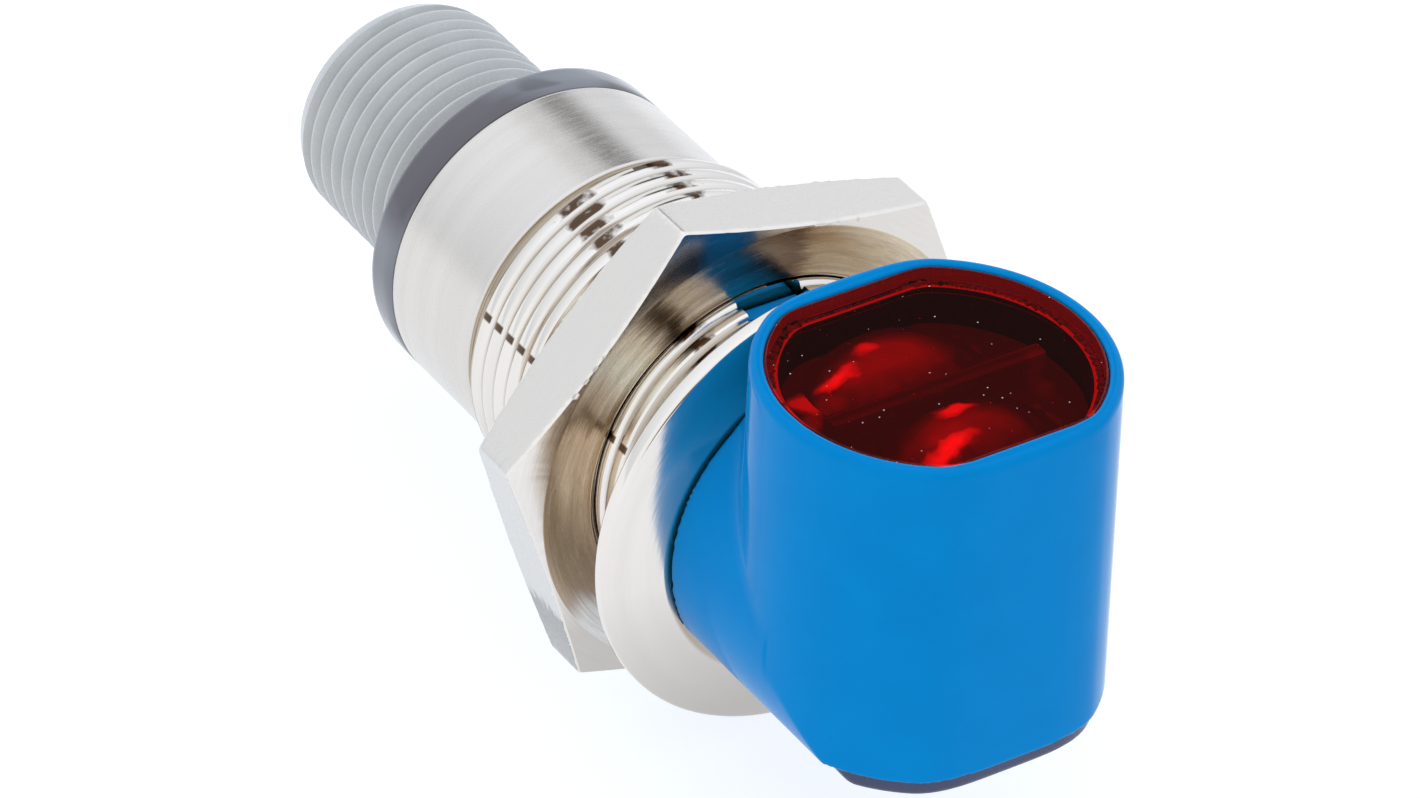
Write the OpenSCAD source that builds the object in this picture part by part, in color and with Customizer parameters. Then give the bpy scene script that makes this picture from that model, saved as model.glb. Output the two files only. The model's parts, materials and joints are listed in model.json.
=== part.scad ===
// Right-angle cylindrical photoelectric sensor with an M18 x 1 sleeve and an M12 x 1 plug connector.
// The thread axis lies along Y. The optic head is at -Y and looks up along +Z, the plug is at +Y.
// The origin is on the thread axis, at the rear face of the sleeve's collar.

/* [Sleeve] */
// Mounting thread, diameter over the crests
thread_d = 18; // [18:0.1:18.2]
// Pitch of the mounting thread and of its nut
thread_pitch = 1; // [0.75:0.25:1]
// Length of the threaded stretch behind the collar
thread_len = 16.1; // [14:0.1:18]
// Length of the whole sleeve behind the collar
sleeve_len = 23.7; // [22:0.1:25]
// Diameter of the plain band behind the thread
band_d = 17; // [16.8:0.1:17.4]
// Diameter of the sleeve's bore
sleeve_bore_d = 15; // [15:0.1:15.2]
// Diameter of the collar
collar_d = 23.6; // [23:0.1:25]
// Height of the collar's cylindrical rim
collar_rim_h = 0.7; // [0.5:0.1:0.9]
// Height of the whole collar, from its rear face to the seat of the head
collar_h = 1.5; // [1.4:0.05:1.5]
// Width of the key notch in the collar and the first turns
key_w = 3.5; // [3:0.1:4]
// Length of the key notch behind the collar's rear face
key_len = 4.4; // [3.5:0.1:4.4]

/* [Nut] */
// Width of the nut across its flats
nut_af = 24; // [24:0.1:24.4]
// Thickness of the nut
nut_h = 3.6; // [3.2:0.1:4]
// Distance from the collar to the nut's front face
nut_y = 4.35; // [4.2:0.05:4.5]
// Angle of the nut's first corner about the thread axis
nut_angle = 48; // [0:1:59]

/* [Head] */
// Distance from the collar's rear face to the axis of the optic column
column_y = 9.4; // [9.4:0.05:9.8]
// Diameter of the optic column at its rim
column_d = 16.74; // [16.7:0.02:16.8]
// How much wider the column is at its lower edge
column_draft = 0.42; // [0:0.02:0.42]
// Width of the optic column across its two flats
column_flats = 15.6; // [15.5:0.02:15.6]
// Height of the column's rim above the thread axis
column_top = 13.3; // [13.2:0.1:13.6]
// Depth of the shell's lower edge below the thread axis
column_bottom = 3.9; // [3.8:0.1:4]
// Diameter of the neck that joins the column to the collar
neck_d = 17.2; // [17:0.1:17.3]
// Thickness of the cover under the head
cover_t = 0.9; // [0.6:0.1:0.9]

/* [Optics] */
// Diameter of the window
window_d = 15.46; // [15.3:0.02:15.5]
// Width of the window across its two flats
window_flats = 13.7; // [13.6:0.02:13.8]
// Thickness of the window
window_t = 1.6; // [1.4:0.1:1.7]
// Diameter of each lens
lens_d = 8.6; // [8:0.1:8.8]
// Width of each lens across its two flats
lens_w = 5.4; // [5:0.1:5.5]
// Radius of each lens dome
lens_dome_r = 6; // [5.5:0.1:8]

/* [Connector] */
// Plug thread, diameter over the crests
plug_d = 12; // [12:0.1:12.1]
// Distance from the collar's rear face to the plug's rim
plug_end = 37.6; // [36:0.1:39]
// Diameter of the cavity round the contacts
plug_bore_d = 8.5; // [8.4:0.1:8.6]
// Diameter of each contact
contact_d = 1; // [0.9:0.05:1]
// Pitch circle of the four contacts
contact_pcd = 5; // [4.9:0.1:5.1]
// Length of the light ring between the sleeve and the plug
ring_len = 2.1; // [1.8:0.1:2.4]

/* [Hidden] */

$fn = 96;
gap = 0.05;
eps = 0.01;
thread_r = thread_d / 2;
thread_root_r = thread_r - 0.6134 * thread_pitch;
sleeve_bore_r = sleeve_bore_d / 2;
collar_r = collar_d / 2;
key_top = 8.2;
key_foot = 7;
key_gap = 0.1;

nut_liner_t = 0.55;
nut_thread_r = thread_r + gap;
nut_bore_r = nut_thread_r + nut_liner_t + gap;
nut_chamfer_h = 0.6;

head_y = -column_y;
neck_y = -collar_h - gap;
step_len = 0.15;
spigot_r = sleeve_bore_r - gap;
spigot_bore_r = 5.9;
spigot_end = 4.0;
column_r = column_d / 2;
column_f = column_flats / 2;
wall = 1.3;
cavity_r = column_r - wall;
cavity_f = column_f - wall - 0.2;
window_top = column_top - 0.1;
window_seat = window_top - window_t;
cover_inset = 0.35;

optics_board_t = 0.8;
optics_board_z = -2;
optics_board_top = optics_board_z + optics_board_t;
carrier_top = 9.7;
divider_t = 0.9;
divider_l = 11.6;
divider_top = window_seat - 0.3;
chamber_y = divider_t / 2 + lens_w / 2 + gap;
pocket_z = 8.05;
polariser_t = 0.25;
lens_z = pocket_z + polariser_t + gap;
lens_flange_t = 0.5;
lens_top = 11.1;
lens_rim = 0.5;

board_t = 1;
board_w = 13;
board_tongue_w = 10.6;
board_front = 0.6;
board_step = 5;
board_end = 19.8;

ring_y = sleeve_len;
ring_end = ring_y + ring_len;
ring_wall_t = 0.9;
ring_bore_r = 6.3;
ring_spigot_y = 20.6;
plug_r = plug_d / 2;
plug_neck_r = plug_r - 0.5;
plug_thread_y = ring_end + 1.3;
plug_lead_h = 0.8;
plug_bore_r = plug_bore_d / 2;
plug_flange_y = 23.4;
carrier_disc_y = 23;
carrier_disc_end = 29.4;
contact_end = plug_end - 1.8;
contact_tail_y = 18.4;
contact_foot_len = 1.2;

o_ring_r = 0.45;
o_ring_centre_r = sleeve_bore_r - o_ring_r - 0.03;
o_ring_groove_r = o_ring_centre_r - o_ring_r - 0.02;
o_ring_groove_w = 1.0;
head_o_ring_y = 1.6;
ring_o_ring_y = 22.2;

// ---- helpers ----

// Puts a shape that is drawn along its own +Z onto the thread axis, starting at y
module along_y(y) {
    translate([0, y, 0]) rotate([-90, 0, 0]) children();
}

module disc_y(r, y0, y1) {
    along_y(y0) cylinder(r = r, h = y1 - y0);
}

// Revolves a profile of [radius, y] points about the thread axis
module turned(points) {
    along_y(0) rotate_extrude() polygon(points);
}

module torus_y(centre_r, section_r, y) {
    along_y(y) rotate_extrude() translate([centre_r, 0]) circle(r = section_r, $fn = 32);
}

// A column about the optical axis, round with two flats across Y, wider at the foot by the draft
module flatted(r, f, z0, z1, draft = 0) {
    translate([0, head_y, z0]) intersection() {
        cylinder(r1 = r + draft, r2 = r, h = z1 - z0);
        translate([-r - 1, -f, 0]) cube([2 * r + 2, 2 * f, z1 - z0]);
    }
}

// The space of a groove in a spigot, centred on y
module o_ring_groove(y) {
    half = o_ring_groove_w / 2;
    difference() {
        disc_y(spigot_r + gap, y - half, y + half);
        disc_y(o_ring_groove_r, y - 1, y + 1);
    }
}

module box(x, y, z) {
    translate([x[0], y[0], z[0]]) cube([x[1] - x[0], y[1] - y[0], z[1] - z[0]]);
}

module centred_box(w, y, z) {
    box([-w / 2, w / 2], y, z);
}

// ---- sleeve and nut ----

module threaded_sleeve() {
    rim_chamfer = 0.15;
    root = thread_root_r - 0.05;
    groove_end = thread_len + 0.6;
    color("gainsboro") difference() {
        turned([
            [sleeve_bore_r, -collar_h], [neck_d / 2 + 0.3, -collar_h],
            [collar_r - rim_chamfer, -collar_rim_h - rim_chamfer], [collar_r, -collar_rim_h],
            [collar_r, -rim_chamfer], [collar_r - rim_chamfer, 0], [thread_r, 0],
            [thread_r, thread_len - 0.5], [root, thread_len], [root, groove_end - 0.1],
            [band_d / 2, groove_end], [band_d / 2, sleeve_len - 0.1],
            [band_d / 2 - 0.1, sleeve_len], [sleeve_bore_r, sleeve_len]
        ]);
        centred_box(key_w, [-collar_h - 1, key_len], [6, collar_r + 1]);
    }
}

module hex_nut() {
    corner_r = nut_af / sqrt(3) + 0.2;
    face_r = nut_af / 2 - 0.2;
    color("lightgray") along_y(nut_y) difference() {
        intersection() {
            rotate([0, 0, -nut_angle]) cylinder(r = nut_af / sqrt(3), h = nut_h, $fn = 6);
            rotate_extrude() polygon([
                [0, 0], [face_r, 0], [corner_r, nut_chamfer_h], [corner_r, nut_h - nut_chamfer_h],
                [face_r, nut_h], [0, nut_h]
            ]);
        }
        translate([0, 0, -1]) cylinder(r = nut_bore_r, h = nut_h + 2);
    }
}

module nut_thread() {
    color("tan") along_y(nut_y) difference() {
        cylinder(r = nut_thread_r + nut_liner_t, h = nut_h);
        translate([0, 0, -1]) cylinder(r = nut_thread_r, h = nut_h + 2);
    }
}

// ---- head ----

// A column whose underside is rounded to the neck's diameter, and the neck that runs into it
module neck_and_column() {
    intersection() {
        flatted(column_r, column_f, -column_bottom, column_top, column_draft / 2);
        union() {
            disc_y(neck_d / 2, head_y - 12, 0);
            centred_box(neck_d, [head_y - 12, 0], [0, column_top + 1]);
        }
    }
    disc_y(neck_d / 2, head_y, neck_y - step_len);
}

// A low key along the first turns, and a taller block in the collar's notch
module head_key() {
    w = key_w - 2 * key_gap;
    centred_box(w, [neck_y - eps, key_len - key_gap], [key_foot, key_top]);
    centred_box(w, [neck_y - 1, -key_gap], [key_foot, collar_r - 0.4]);
}

module head_shell() {
    color("dodgerblue") {
        difference() {
            union() {
                intersection() {
                    neck_and_column();
                    box([-12, 12], [head_y - 12, 5], [-column_bottom, column_top + 1]);
                }
                intersection() {
                    disc_y(neck_d / 2 - 0.2, neck_y - step_len - eps, neck_y);
                    box([-12, 12], [-12, 5], [-column_bottom, 12]);
                }
                disc_y(spigot_r, neck_y - eps, spigot_end);
                head_key();
            }
            flatted(cavity_r, cavity_f, -column_bottom - 1, window_seat);
            flatted(window_d / 2, window_flats / 2, window_seat, column_top + 1);
            disc_y(spigot_bore_r, head_y, spigot_end + 1);
            o_ring_groove(head_o_ring_y);
        }
    }
}

// A flat plate under the column with a wedge that falls back to the collar
module head_cover() {
    low = -column_bottom - cover_t;
    rear = neck_y - 2 * gap;
    wedge_low = -7.4;
    wedge_y = -5.6;
    color("slategray") intersection() {
        union() {
            intersection() {
                flatted(column_r - cover_inset, column_f - cover_inset, low, 0, column_draft / 2);
                disc_y(neck_d / 2 - cover_inset, head_y - 12, 0);
            }
            disc_y(neck_d / 2 - cover_inset, head_y, neck_y);
        }
        rotate([90, 0, 90]) translate([0, 0, -12]) linear_extrude(24) polygon([
            [head_y - 12, -column_bottom], [rear, -column_bottom], [rear, wedge_low],
            [wedge_y, low], [head_y - 12, low]
        ]);
    }
}

module front_window() {
    color("darkred") flatted(window_d / 2 - gap, window_flats / 2 - gap, window_seat, window_top);
}

// ---- optics ----

// A pocket, lens or filter on one side of the divider: a disc of diameter d cut to the width w
// and clipped by the carrier's round rim
module optic_outline(side, d, w, rim, z0, z1) {
    intersection() {
        translate([0, head_y + side * chamber_y, 0]) centred_box(d + 1, [-w / 2, w / 2], [z0, z1]);
        translate([0, head_y + side * chamber_y, z0 - 1]) cylinder(d = d, h = z1 - z0 + 2);
        translate([0, head_y, z0 - 1]) cylinder(r = cavity_r - rim, h = z1 - z0 + 2);
    }
}

module lens_carrier() {
    half_l = divider_l / 2;
    color("black") difference() {
        union() {
            flatted(cavity_r - gap, cavity_f - gap, optics_board_top, carrier_top);
            translate([0, head_y, 0])
                box([-half_l, half_l], [-divider_t / 2, divider_t / 2], [carrier_top - eps, divider_top]);
        }
        for (side = [-1, 1]) {
            optic_outline(side, lens_d - 1.2, lens_w - 0.8, 1, optics_board_top - 1, carrier_top);
            optic_outline(side, lens_d + 2 * gap, lens_w + 2 * gap, lens_rim - gap, pocket_z,
                          divider_top + 1);
        }
    }
}

// A thin flange under a spherical dome
module lens(side) {
    color("mistyrose") {
        optic_outline(side, lens_d, lens_w, lens_rim, lens_z, lens_z + lens_flange_t);
        intersection() {
            translate([0, head_y + side * chamber_y, lens_top - lens_dome_r]) sphere(r = lens_dome_r);
            optic_outline(side, lens_d - 0.4, lens_w - 0.4, lens_rim + 0.2, lens_z, lens_top + 1);
        }
    }
}

module polariser(side) {
    color("dimgray") optic_outline(side, lens_d, lens_w, lens_rim, pocket_z, pocket_z + polariser_t);
}

module emitter_lens() { lens(-1); }
module receiver_lens() { lens(1); }
module emitter_polariser() { polariser(-1); }
module receiver_polariser() { polariser(1); }

module optics_board() {
    color("darkgreen")
        flatted(cavity_r - 0.2, cavity_f - 0.2, optics_board_z, optics_board_top);
}

module emitter_led() {
    color("whitesmoke") translate([0, head_y - chamber_y, optics_board_top]) {
        centred_box(2.4, [-1.0, 1.0], [0, 0.9]);
        cylinder(r = 0.8, h = 1.3);
    }
}

module receiver_photodiode() {
    color("darkslategray") translate([0, head_y + chamber_y, optics_board_top])
        centred_box(3, [-1.2, 1.2], [0, 0.9]);
}

// A thin metal can with an aperture above the photodiode
module receiver_shield() {
    can_w = 4.6;
    can_d = 3.6;
    can_h = 1.9;
    sheet = 0.25;
    color("silver") translate([0, head_y + chamber_y, optics_board_top]) difference() {
        centred_box(can_w, [-can_d / 2, can_d / 2], [0, can_h]);
        centred_box(can_w - 2 * sheet, [sheet - can_d / 2, can_d / 2 - sheet], [-1, can_h - sheet]);
        cylinder(r = 0.9, h = can_h + 1);
    }
}

// A flat flexible link from under the main board to under the optics board
module board_flex() {
    t = 0.15;
    upper = -board_t / 2;
    lower = optics_board_z;
    color("orange") rotate([90, 0, 90]) translate([0, 0, -2.5]) linear_extrude(5) polygon([
        [2.6, upper], [-0.4, upper], [-2.9, lower], [-6.4, lower],
        [-6.4, lower - t], [-2.96, lower - t], [-0.46, upper - t], [2.6, upper - t]
    ]);
}

// ---- electronics in the sleeve ----

module main_board() {
    color("seagreen") difference() {
        union() {
            centred_box(board_tongue_w, [board_front, board_step + eps], [-board_t / 2, board_t / 2]);
            centred_box(board_w, [board_step, board_end], [-board_t / 2, board_t / 2]);
        }
        for (x = [-1, 1])
            translate([x * 5.2, 7, -1]) cylinder(r = 0.5, h = 2);
    }
}

module on_top(x, y, w, d, h) {
    translate([x, y, board_t / 2]) centred_box(w, [-d / 2, d / 2], [0, h]);
}

module under(x, y, w, d, h) {
    translate([x, y, -board_t / 2 - h]) centred_box(w, [-d / 2, d / 2], [0, h]);
}

module signal_chip() { color("dimgray") on_top(0, 9.6, 5, 5, 0.9); }
module regulator_chip() { color("dimgray") on_top(2.6, 15.6, 3, 3, 1.1); }

module output_transistors() {
    color("dimgray") for (x = [-4.2, -1.4])
        on_top(x, 15.6, 1.4, 2.9, 1.0);
}

module passives() {
    color("tan") {
        for (x = [-4, -2, 0, 2, 4], y = [5.2, 13.2])
            on_top(x, y, 0.8, 1.6, 0.7);
        for (x = [-3, 0, 3], y = [7, 11, 15])
            under(x, y, 1.25, 2, 1.0);
    }
}

module indicator_leds() {
    color("khaki") for (x = [-4.6, 4.6]) {
        on_top(x, 18.9, 1.6, 0.8, 0.7);
        under(x, 18.9, 1.6, 0.8, 0.7);
    }
}

// A trough under the main board
module board_holder() {
    color("darkgray") intersection() {
        difference() {
            disc_y(sleeve_bore_r - gap, 5.6, 18.2);
            disc_y(board_w / 2 + gap, 5, 19);
        }
        box([-8, 8], [5, 19], [-8, 0.6]);
    }
}

// ---- plug end ----

module indicator_ring() {
    color("slategray") difference() {
        union() {
            disc_y(band_d / 2, ring_y, ring_end);
            disc_y(spigot_r, ring_spigot_y, ring_y + eps);
        }
        disc_y(ring_bore_r, ring_spigot_y - 1, ring_end - ring_wall_t);
        disc_y(plug_neck_r + gap, ring_y, ring_end + 1);
        o_ring_groove(ring_o_ring_y);
    }
}

module connector_shell() {
    color("darkgray") {
        difference() {
            turned([
                [0, plug_flange_y], [ring_bore_r - gap, plug_flange_y],
                [ring_bore_r - gap, ring_end - ring_wall_t - gap],
                [plug_neck_r, ring_end - ring_wall_t - gap], [plug_neck_r, plug_thread_y - 0.4],
                [plug_r, plug_thread_y], [plug_r, plug_end - plug_lead_h],
                [plug_r - 0.37, plug_end], [0, plug_end]
            ]);
            disc_y(plug_bore_r, plug_flange_y - 1, plug_end + 1);
        }
        coding_rib();
    }
}

// The rib that lets the mating plug in one way round only
module coding_rib() {
    centred_box(0.9, [carrier_disc_end + 0.2, plug_end - 0.6], [plug_bore_r - 0.6, plug_bore_r + 0.3]);
}

module contact_places() {
    for (a = [45:90:315])
        rotate([0, a, 0]) translate([contact_pcd / 2, 0, 0]) children();
}

module contact_carrier() {
    color("dimgray") difference() {
        disc_y(plug_bore_r - gap, carrier_disc_y, carrier_disc_end);
        contact_places() disc_y(contact_d / 2 + 0.02, carrier_disc_y - 1, carrier_disc_end + 1);
    }
}

module contact_pins() {
    tip = 0.3;
    tail_z = contact_pcd / 2 * sin(45);
    color("gold") {
        contact_places() turned([
            [0, contact_tail_y], [contact_d / 2, contact_tail_y], [contact_d / 2, contact_end - tip],
            [contact_d / 2 - tip, contact_end], [0, contact_end]
        ]);
        for (x = [-tail_z, tail_z], side = [-1, 1])
            translate([x, contact_tail_y, 0])
                box([-0.4, 0.4], [0, contact_foot_len],
                    side > 0 ? [board_t / 2, tail_z] : [-tail_z, -board_t / 2]);
    }
}

// ---- seals ----

module head_o_ring() {
    color("black") torus_y(o_ring_centre_r, o_ring_r, head_o_ring_y);
}

module ring_o_ring() {
    color("black") torus_y(o_ring_centre_r, o_ring_r, ring_o_ring_y);
}

threaded_sleeve();
hex_nut();
nut_thread();
head_shell();
head_cover();
front_window();
lens_carrier();
emitter_lens();
receiver_lens();
emitter_polariser();
receiver_polariser();
optics_board();
emitter_led();
receiver_photodiode();
receiver_shield();
board_flex();
main_board();
signal_chip();
regulator_chip();
output_transistors();
passives();
indicator_leds();
board_holder();
indicator_ring();
connector_shell();
contact_carrier();
contact_pins();
head_o_ring();
ring_o_ring();
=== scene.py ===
import json
import math

import bmesh
import bpy
import numpy as np
from mathutils import Matrix, Vector


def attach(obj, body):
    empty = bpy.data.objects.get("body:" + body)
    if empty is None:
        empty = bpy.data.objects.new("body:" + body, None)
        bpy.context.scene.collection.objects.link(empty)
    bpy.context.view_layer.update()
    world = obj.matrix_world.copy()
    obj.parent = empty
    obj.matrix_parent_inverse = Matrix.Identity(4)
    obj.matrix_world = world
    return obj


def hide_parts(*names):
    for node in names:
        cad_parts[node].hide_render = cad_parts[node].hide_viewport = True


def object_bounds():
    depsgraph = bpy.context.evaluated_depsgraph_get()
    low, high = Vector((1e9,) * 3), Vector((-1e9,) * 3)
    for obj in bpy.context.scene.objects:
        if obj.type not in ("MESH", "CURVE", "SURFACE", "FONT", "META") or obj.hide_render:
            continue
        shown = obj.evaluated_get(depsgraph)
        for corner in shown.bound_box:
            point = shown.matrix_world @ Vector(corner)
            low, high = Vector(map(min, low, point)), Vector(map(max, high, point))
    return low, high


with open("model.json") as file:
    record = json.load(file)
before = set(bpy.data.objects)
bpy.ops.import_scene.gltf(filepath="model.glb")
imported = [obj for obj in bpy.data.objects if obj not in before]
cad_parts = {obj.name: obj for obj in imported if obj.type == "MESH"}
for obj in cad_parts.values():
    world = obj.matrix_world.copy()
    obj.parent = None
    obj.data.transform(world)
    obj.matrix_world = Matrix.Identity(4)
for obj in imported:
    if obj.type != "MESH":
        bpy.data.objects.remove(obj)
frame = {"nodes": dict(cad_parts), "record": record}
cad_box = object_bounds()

# Lengths are in millimetres up to mesh_piece(), which writes metres.
# The thread axis is Y and the optical axis is +Z.
MM = 0.001
TAU = 2 * math.pi

PITCH = 1.0
THREAD_Y0 = 0.735          # where the first crest crosses the +X side
THREAD_R = 9.0
BAND_R = 8.5
THREAD_END = 16.2
BAND_Y = 16.65             # the plain band starts here

HEAD_Y = -9.4              # the optical axis
COLUMN_TOP = 13.3
COLUMN_LOW = -3.9
COLUMN_R = 8.37
COLUMN_DRAFT = 0.21
COLUMN_F = 7.8
CAVITY_R = 7.07
CAVITY_F = 6.3
SPIGOT_R = 7.45
SPIGOT_BORE_R = 5.9
SEAL_Y, SEAL_HALF, SEAL_R = 1.6, 0.5, 6.57
FIT_GAP = 0.05             # round the window and the carrier
NECK_R = 8.6
NECK_Y = -1.55
COVER_INSET = 0.35
COVER_LOW = -4.8
WEDGE_Y = -5.6             # the cover slopes from here down to the neck
WEDGE_SLOPE = 2.6 / 3.95

WINDOW_SEAT = 11.6
WINDOW_TOP = 13.2
WINDOW_R = 7.68
WINDOW_F = 6.8

NUT_AF = 24.0
NUT_H = 3.6
NUT_Y = 4.35
NUT_ANGLE = math.radians(48)
NUT_FACE_R = 11.8          # the turned face ends and the chamfer starts
NUT_SLOPE = 0.266
NUT_BEVEL = 0.10
NUT_MOUTH_R = 9.27

PLUG_R = 6.0
PLUG_THREAD_Y0 = 27.3


# ---------------------------------------------------------------- materials

SWIRL = 1.6                # millimetres that the swirl bends a glint


class Nodes:
    """A node tree, with short calls to add nodes."""

    def __init__(self, tree):
        self.tree = tree

    def link(self, node, key, value):
        socket = node.inputs[key]
        if isinstance(value, bpy.types.NodeSocket):
            self.tree.links.new(value, socket)
        elif isinstance(value, bpy.types.Node):
            self.tree.links.new(value.outputs[0], socket)
        elif socket.type == "RGBA" and len(value) == 3:
            socket.default_value = (*value, 1)
        else:
            socket.default_value = value

    def add(self, kind, inputs=None, **props):
        node = self.tree.nodes.new(kind)
        for key, value in props.items():
            setattr(node, key, value)
        for key, value in (inputs or {}).items():
            self.link(node, key, value)
        return node

    def math(self, operation, a, b=0.0, clamp=False):
        return self.add("ShaderNodeMath", {0: a, 1: b}, operation=operation, use_clamp=clamp)

    def between(self, value, lo, hi, a=0.0, b=1.0):
        """value's range lo..hi mapped to a..b and clamped."""
        return self.add("ShaderNodeMapRange", {
            "Value": value, "From Min": lo, "From Max": hi, "To Min": a, "To Max": b}).outputs[0]

    def mix(self, fac, a, b):
        node = self.add("ShaderNodeMix", data_type="RGBA")
        for index, value in ((0, fac), (6, a), (7, b)):
            self.link(node, index, value)
        return node.outputs[2]


class Finish(Nodes):
    """A material whose nodes work on object coordinates in millimetres."""

    def __init__(self, name, **inputs):
        self.material = bpy.data.materials.new(name)
        self.material.use_nodes = True
        super().__init__(self.material.node_tree)
        self.shader = self.tree.nodes["Principled BSDF"]
        for key, value in inputs.items():
            self.put(key.replace("_", " "), value)
        place = self.add("ShaderNodeTexCoord")
        self.mm = self.add("ShaderNodeVectorMath", {0: place.outputs["Object"], "Scale": 1000.0},
                           operation="SCALE").outputs[0]

    def put(self, key, value):
        self.link(self.shader, key, value)

    def noise(self, scale, detail=3.0, vector=None, rough=0.5):
        return self.add("ShaderNodeTexNoise", {
            "Vector": vector or self.mm, "Scale": scale, "Detail": detail,
            "Roughness": rough}).outputs["Fac"]

    def along(self, axis):
        """The place along X, Y or Z, as axis 0, 1 or 2."""
        return self.add("ShaderNodeSeparateXYZ", {0: self.mm}).outputs[axis]

    def rho(self):
        """Distance from the thread axis."""
        flat = self.add("ShaderNodeVectorMath", {0: self.mm, 1: (1, 0, 1)}, operation="MULTIPLY")
        return self.add("ShaderNodeVectorMath", {0: flat}, operation="LENGTH").outputs["Value"]

    def angle(self):
        """Angle about the thread axis, 0 on +X and a right angle on +Z."""
        return self.math("ARCTAN2", self.along(2), self.along(0))

    def turn(self):
        """The same angle as a fraction of a turn, from 0 to 1."""
        return self.math("FRACT", self.math("ADD", self.math("DIVIDE", self.angle(), TAU), 1.0))

    def ramp(self, value, stops):
        node = self.add("ShaderNodeValToRGB", {0: value})
        marks = node.color_ramp.elements
        marks[0].position, marks[0].color = stops[0][0], (*stops[0][1], 1)
        marks[1].position, marks[1].color = stops[-1][0], (*stops[-1][1], 1)
        for place, colour in stops[1:-1]:
            marks.new(place).color = (*colour, 1)
        return node.outputs[0]

    def spots(self, marks):
        """Sum of soft ellipses (x, y, half length, half width, strength), drawn through a swirl."""
        bend = self.add("ShaderNodeTexNoise", {"Vector": self.mm, "Scale": 0.7, "Detail": 3.0})
        shift = self.add("ShaderNodeVectorMath", {0: bend.outputs["Color"], 1: (0.5, 0.5, 0.5)},
                         operation="SUBTRACT")
        shift = self.add("ShaderNodeVectorMath", {0: shift, "Scale": SWIRL}, operation="SCALE")
        at = self.add("ShaderNodeVectorMath", {0: self.mm, 1: shift}, operation="ADD")
        total = 0.0
        for x, y, long, wide, strength in marks:
            off = self.add("ShaderNodeVectorMath", {0: at, 1: (x, y, 0)}, operation="SUBTRACT")
            off = self.add("ShaderNodeVectorMath", {0: off, 1: (1 / long, 1 / wide, 0)},
                           operation="MULTIPLY")
            reach = self.add("ShaderNodeVectorMath", {0: off}, operation="LENGTH").outputs["Value"]
            total = self.math("ADD", self.between(reach, 0.35, 1.0, strength, 0.0), total)
        return total

    def polar(self):
        """Distance from the thread axis, place along it, slow noise: noise on it runs in rings."""
        rings = {0: self.rho(), 1: self.along(1), 2: self.noise(0.25, 1.0)}
        return self.add("ShaderNodeCombineXYZ", rings).outputs[0]

    def bump(self, height, distance_mm):
        self.put("Normal", self.add("ShaderNodeBump", {
            "Height": height, "Distance": distance_mm * MM, "Strength": 1.0}).outputs[0])


NICKEL = (0.785, 0.73, 0.665)
STREAK_BROWN = (0.20, 0.15, 0.105)
# Painted shade in the thread's roots, and painted dark reflections on its crests.
GROOVE_SHADE_BROWN = (0.42, 0.34, 0.25)
CREST_REFLECTION_BROWN = (0.075, 0.036, 0.015)

# Painted reflections round the nut's front face: browns and greys where the turned face mirrors the
# parts around it, from +X through the optical axis: place in turns, colour.
PAINTED_FACE_REFLECTION = (
    (0.0, (0.65, 0.54, 0.40)), (0.18, (0.62, 0.52, 0.38)), (0.21, (0.57, 0.45, 0.31)),
    (0.225, (0.21, 0.14, 0.10)), (0.25, (0.31, 0.24, 0.18)), (0.275, (0.57, 0.48, 0.38)),
    (0.305, (0.65, 0.55, 0.44)), (0.325, (0.62, 0.53, 0.41)), (0.337, (0.14, 0.11, 0.07)),
    (0.348, (0.43, 0.35, 0.27)), (0.36, (0.88, 0.80, 0.65)), (0.385, (0.92, 0.92, 0.82)),
    (0.405, (0.71, 0.62, 0.50)), (0.425, (0.34, 0.26, 0.18)), (0.437, (0.76, 0.62, 0.46)),
    (0.475, (0.76, 0.62, 0.46)), (0.50, (0.60, 0.47, 0.33)), (0.56, (0.44, 0.34, 0.235)),
    (0.575, (0.43, 0.33, 0.26)), (0.595, (0.69, 0.67, 0.635)), (0.65, (0.70, 0.70, 0.67)),
    (0.75, (0.71, 0.71, 0.71)), (0.85, (0.65, 0.60, 0.51)), (1.0, (0.65, 0.54, 0.40)))

# The same painted reflections for the chamfer: dark where it mirrors the head's key, grey painted
# shade underneath.
PAINTED_CHAMFER_REFLECTION = (
    (0.0, (0.74, 0.69, 0.63)), (0.24, (0.66, 0.61, 0.55)), (0.265, (0.42, 0.37, 0.34)),
    (0.32, (0.40, 0.34, 0.31)), (0.345, (0.70, 0.65, 0.59)), (0.40, (0.80, 0.75, 0.69)),
    (0.55, (0.80, 0.75, 0.69)), (0.60, (0.58, 0.54, 0.49)), (0.75, (0.55, 0.51, 0.47)),
    (1.0, (0.74, 0.69, 0.63)))

# The flats: painted reflections, each flat with its own tone as it faces the light, and a grey
# painted reflection of the shaded floor beside the lowest corner.
PAINTED_FLAT_REFLECTION = (
    (0.0, (0.775, 0.72, 0.655)), (0.298, (0.775, 0.72, 0.655)), (0.302, (0.72, 0.67, 0.61)),
    (0.464, (0.72, 0.67, 0.61)), (0.469, (0.65, 0.64, 0.61)), (0.583, (0.65, 0.64, 0.61)),
    (0.592, (0.31, 0.31, 0.30)), (0.632, (0.40, 0.39, 0.37)), (0.638, (0.66, 0.62, 0.57)),
    (0.74, (0.66, 0.62, 0.57)), (0.76, (0.775, 0.72, 0.655)), (1.0, (0.775, 0.72, 0.655)))


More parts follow.
